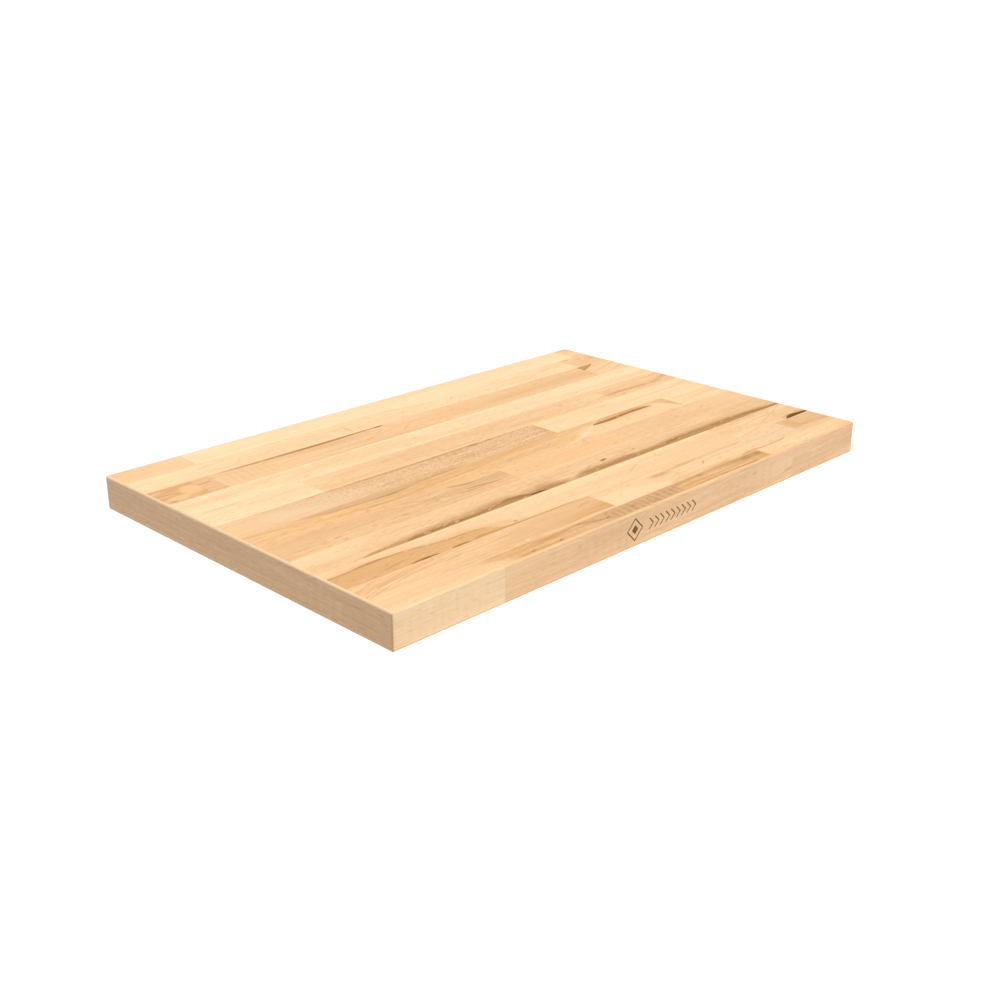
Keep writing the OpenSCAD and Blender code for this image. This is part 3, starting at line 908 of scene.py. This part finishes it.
# Row 12, along the front edge
@piece
def stave_12_left(wood):
    wood.body(TAN, AMBER, 0.9)
    wood.wash([(0, 447, 20), (90, 447, 20), (128, 450, 14), (165, 457, 0)], PEACH, 1.0, 10)
    wood.wash([(0, 453, 8), (40, 451, 10), (100, 455, 0)], HONEY, 0.6)
    wood.streak([(180, 438, 0), (198, 440, 3), (230, 440, 3.2), (255, 438, 2.4), (262, 439, 3),
                 (300, 442, 2.4), (310, 442, 0)], RUSSET, 0.85, 2.6, 4)
    wood.wash([(220, 441, 0), (270, 445, 6), (300, 445, 16), (380, 443, 12), (400, 439, 5),
               (430, 437, 3), (480, 439, 5), (548, 441, 10)], GREY_TAN, 1.0, 4)
    wood.streak([(236, 437, 0), (258, 441, 1.8), (280, 447, 2), (298, 450, 0)], BROWN, 0.6, 2)
    wood.curl([(285, 446, 0), (305, 446, 14), (385, 446, 14), (400, 446, 0)], BROWN, 9, 0.05, 0.4)
    wood.streak([(385, 443, 0), (402, 439, 3.6), (430, 438, 3), (470, 437, 3), (500, 439, 5),
                 (530, 440, 6), (548, 441, 7)], RUSSET, 0.7, 3, 4)
    wood.spot(440, 438, 16, 4, BROWN, 0.5)
    wood.spot(520, 441, 26, 10, BROWN, 0.5, -0.1)
    wood.spot(540, 441, 20, 10, BROWN, 0.35)
    wood.streak([(382, 451, 0), (410, 446.5, 1.8), (450, 447, 2), (500, 449, 2), (548, 451, 2.4)],
                ORANGE, 0.9, 2)
    wood.streak([(420, 450, 0), (460, 449.6, 1.2), (520, 451, 1.2), (540, 452, 0)], PEACH, 0.8)
    wood.streak([(384, 455, 0), (430, 453.5, 1.8), (480, 453.5, 1.6), (520, 454, 2), (532, 455, 0)],
                BROWN, 0.4)
    wood.spot(517, 454.5, 14, 3.4, BROWN, 0.6)
    wood.streak([(300, 445, 0), (325, 444, 2), (345, 449, 2.4), (356, 452, 0)], RUSSET, 0.7, 2)
    wood.spot(325, 444, 8, 5, BROWN, 0.6)
    wood.spot(355, 452, 14, 4, RUSSET, 0.8)
    wood.streak([(130, 442, 0), (160, 444.5, 1.8), (184, 449, 0)], AMBER, 0.8)
    wood.wash([(140, 455, 0), (170, 454, 3), (220, 454, 3), (240, 456, 0)], RUSSET, 0.4, 4)
    wood.ticks([(252, 438), (290, 439), (284, 447), (212, 452), (176, 451)], BROWN, (9, 3), 0.6)
    wood.ticks([(56, 452), (112, 438.5), (30, 453), (44, 455), (36, 438), (80, 447), (124, 443)],
               ROSE, (11, 3))


@piece
def stave_12_right(wood):
    wood.body(CREAM, PEACH, 0.7)
    wood.wash([(548, 441, 4), (600, 439, 3), (640, 437, 0)], CREAM, 0.6)
    wood.wash([(590, 457, 0), (640, 451, 6), (711, 447, 13)], PEACH, 0.8, 8)
    wood.wash([(660, 457, 0), (690, 452, 4), (711, 450, 7)], ROSE, 0.6, 5)
    wood.ticks([(642, 448), (572, 443), (618, 453), (676, 442), (656, 456)], ROSE, (11, 3))
    wood.flecks(PEACH, 0.3)


# Edge strips
@piece
def front_band_left(wood):
    wood.body(PALE, HONEY, 0.5, 0.3)
    wood.curl([(0, 180, 20), (134, 180, 20)], HONEY, 9, 0, 0.35)
    wood.ticks([(96, 181), (44, 176), (66, 189), (112, 170), (20, 184), (30, 168), (84, 193)],
               ROSE, (8, 2.4), 0.9)
    wood.flecks(PEACH, 0.4)


@piece
def end_band_left(wood):
    wood.body(PEACH, ROSE, 1.0, 0.3)
    wood.streak([(134, 190, 3), (200, 190, 3), (280, 190, 0)], ROSE, 0.8, 3)
    wood.curl([(134, 180, 20), (560, 180, 20)], TAN, 13, 0, 0.2)
    wood.ticks([(147, 168), (144, 175), (179, 171), (176, 189), (212, 194), (246, 172), (298, 184),
                (352, 170), (420, 186), (505, 176)], AMBER, (12, 3), 0.9)
    wood.flecks(TAN, 0.4)


@piece
def front_band_right(wood):
    wood.body(PEACH, ROSE, 0.9)
    wood.wash([(585, 182, 9), (640, 184, 8), (711, 176, 10)], TAN, 0.6)
    wood.wash([(600, 170, 6), (690, 166, 0)], HONEY, 0.6)
    for shift in (0, 8, 16):
        wood.streak([(620, 192 - shift, 0), (670, 190 - shift, 1.4), (711, 182 - shift, 1.8)],
                    TAN, 0.6, 2)
    wood.flecks(TAN, 0.35)


@piece
def end_band_right(wood):
    wood.body(ROSE, AMBER, 0.8, 0.3)
    wood.ticks([(60, 172), (150, 186), (240, 176), (330, 190)], AMBER, (12, 3), 0.9)
    wood.flecks(TAN, 0.4)


# Strips that were sawn off the same board as a stave share its recipe
RECIPES["front_band_middle"] = stave_05_middle
RECIPES["back_band_left"] = stave_08_right
RECIPES["back_band_middle"] = stave_08_right
RECIPES["back_band_right"] = stave_08_right


def lay_of(node):
    """How a piece lies in the block."""
    if node == "end_band_left":
        return laid_left
    if node == "end_band_right":
        return laid_right
    return {"front": laid_front, "back_": laid_back, "stave": laid_flat}[node[:5]]


def finish_piece(node, seed):
    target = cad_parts[node]
    wood = Maple(node + "_maple", seed, lay_of(node))
    RECIPES[node](wood)
    if node.startswith("stave"):
        wood.glue(stave_gap(wood, node))
    else:
        wood.glue(band_gap(wood, node))
        # Painted shade down each mitre corner
        painted_mitre_shade(wood)
        # Rim tint, with painted shade along the lower rounded edge
        rim_tint_and_painted_shade(wood, *OTHER_RIMS.get(node, FRONT_RIM))
    if node == "front_band_middle":
        burn_mark(wood)
    target.data.materials.clear()
    target.data.materials.append(wood.oiled())


# --- The studio -----------------------------------------------------------------------------
# Places and sizes in the studio are in metres
CAMERA_PLACE = Vector((-1.0056, -1.0039, 0.5359))
CAMERA_AZIMUTH = math.radians(-45.034)
CAMERA_ELEVATION = math.radians(21.558)
LENS_MM = 48.96
SENSOR_MM = 36
FLOOR_REACH = 40
PAPER = (0.8, 0.8, 0.8, 1)
SKY_STRENGTH = 0.1


def sun(name, azimuth, elevation, strength, spread):
    """A soft light without shadows, even over the whole floor; azimuth is as the camera's."""
    light = bpy.data.lights.new(name, "SUN")
    light.use_shadow = False
    light.energy = strength * math.pi
    light.angle = math.radians(spread)
    holder = bpy.data.objects.new(name, light)
    holder.rotation_euler = (math.radians(90 - elevation), 0, math.radians(azimuth))
    bpy.context.scene.collection.objects.link(holder)


def studio_floor():
    mesh = bpy.data.meshes.new("floor")
    shape = bmesh.new()
    bmesh.ops.create_grid(shape, x_segments=1, y_segments=1, size=FLOOR_REACH)
    shape.to_mesh(mesh)
    shape.free()
    floor = bpy.data.objects.new("floor", mesh)
    bpy.context.scene.collection.objects.link(floor)
    paper = Finish("floor_paper")
    sockets = {"Base Color": PAPER, "Roughness": 0.9, "Specular IOR Level": 0}
    surface = paper.node("ShaderNodeBsdfPrincipled", None, sockets)
    paper.node("ShaderNodeOutputMaterial", None, {"Surface": paper.value(surface)})
    mesh.materials.append(paper.material)


def studio_camera():
    data = bpy.data.cameras.new("camera")
    data.lens = LENS_MM
    data.sensor_width = SENSOR_MM
    camera = bpy.data.objects.new("camera", data)
    camera.location = CAMERA_PLACE
    camera.rotation_euler = (math.pi / 2 - CAMERA_ELEVATION, 0, CAMERA_AZIMUTH)
    bpy.context.scene.collection.objects.link(camera)
    bpy.context.scene.camera = camera


def studio_world():
    world = bpy.data.worlds.new("studio")
    world.use_nodes = True
    background = world.node_tree.nodes["Background"]
    background.inputs["Color"].default_value = (1, 1, 1, 1)
    background.inputs["Strength"].default_value = SKY_STRENGTH
    bpy.context.scene.world = world


studio_camera()
studio_world()
studio_floor()
sun("overhead", azimuth=0, elevation=90, strength=1.06, spread=5)
sun("front_right", azimuth=25, elevation=25, strength=0.42, spread=40)
bpy.context.scene.view_settings.view_transform = "Standard"

for number, node in enumerate(sorted(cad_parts)):
    finish_piece(node, number)
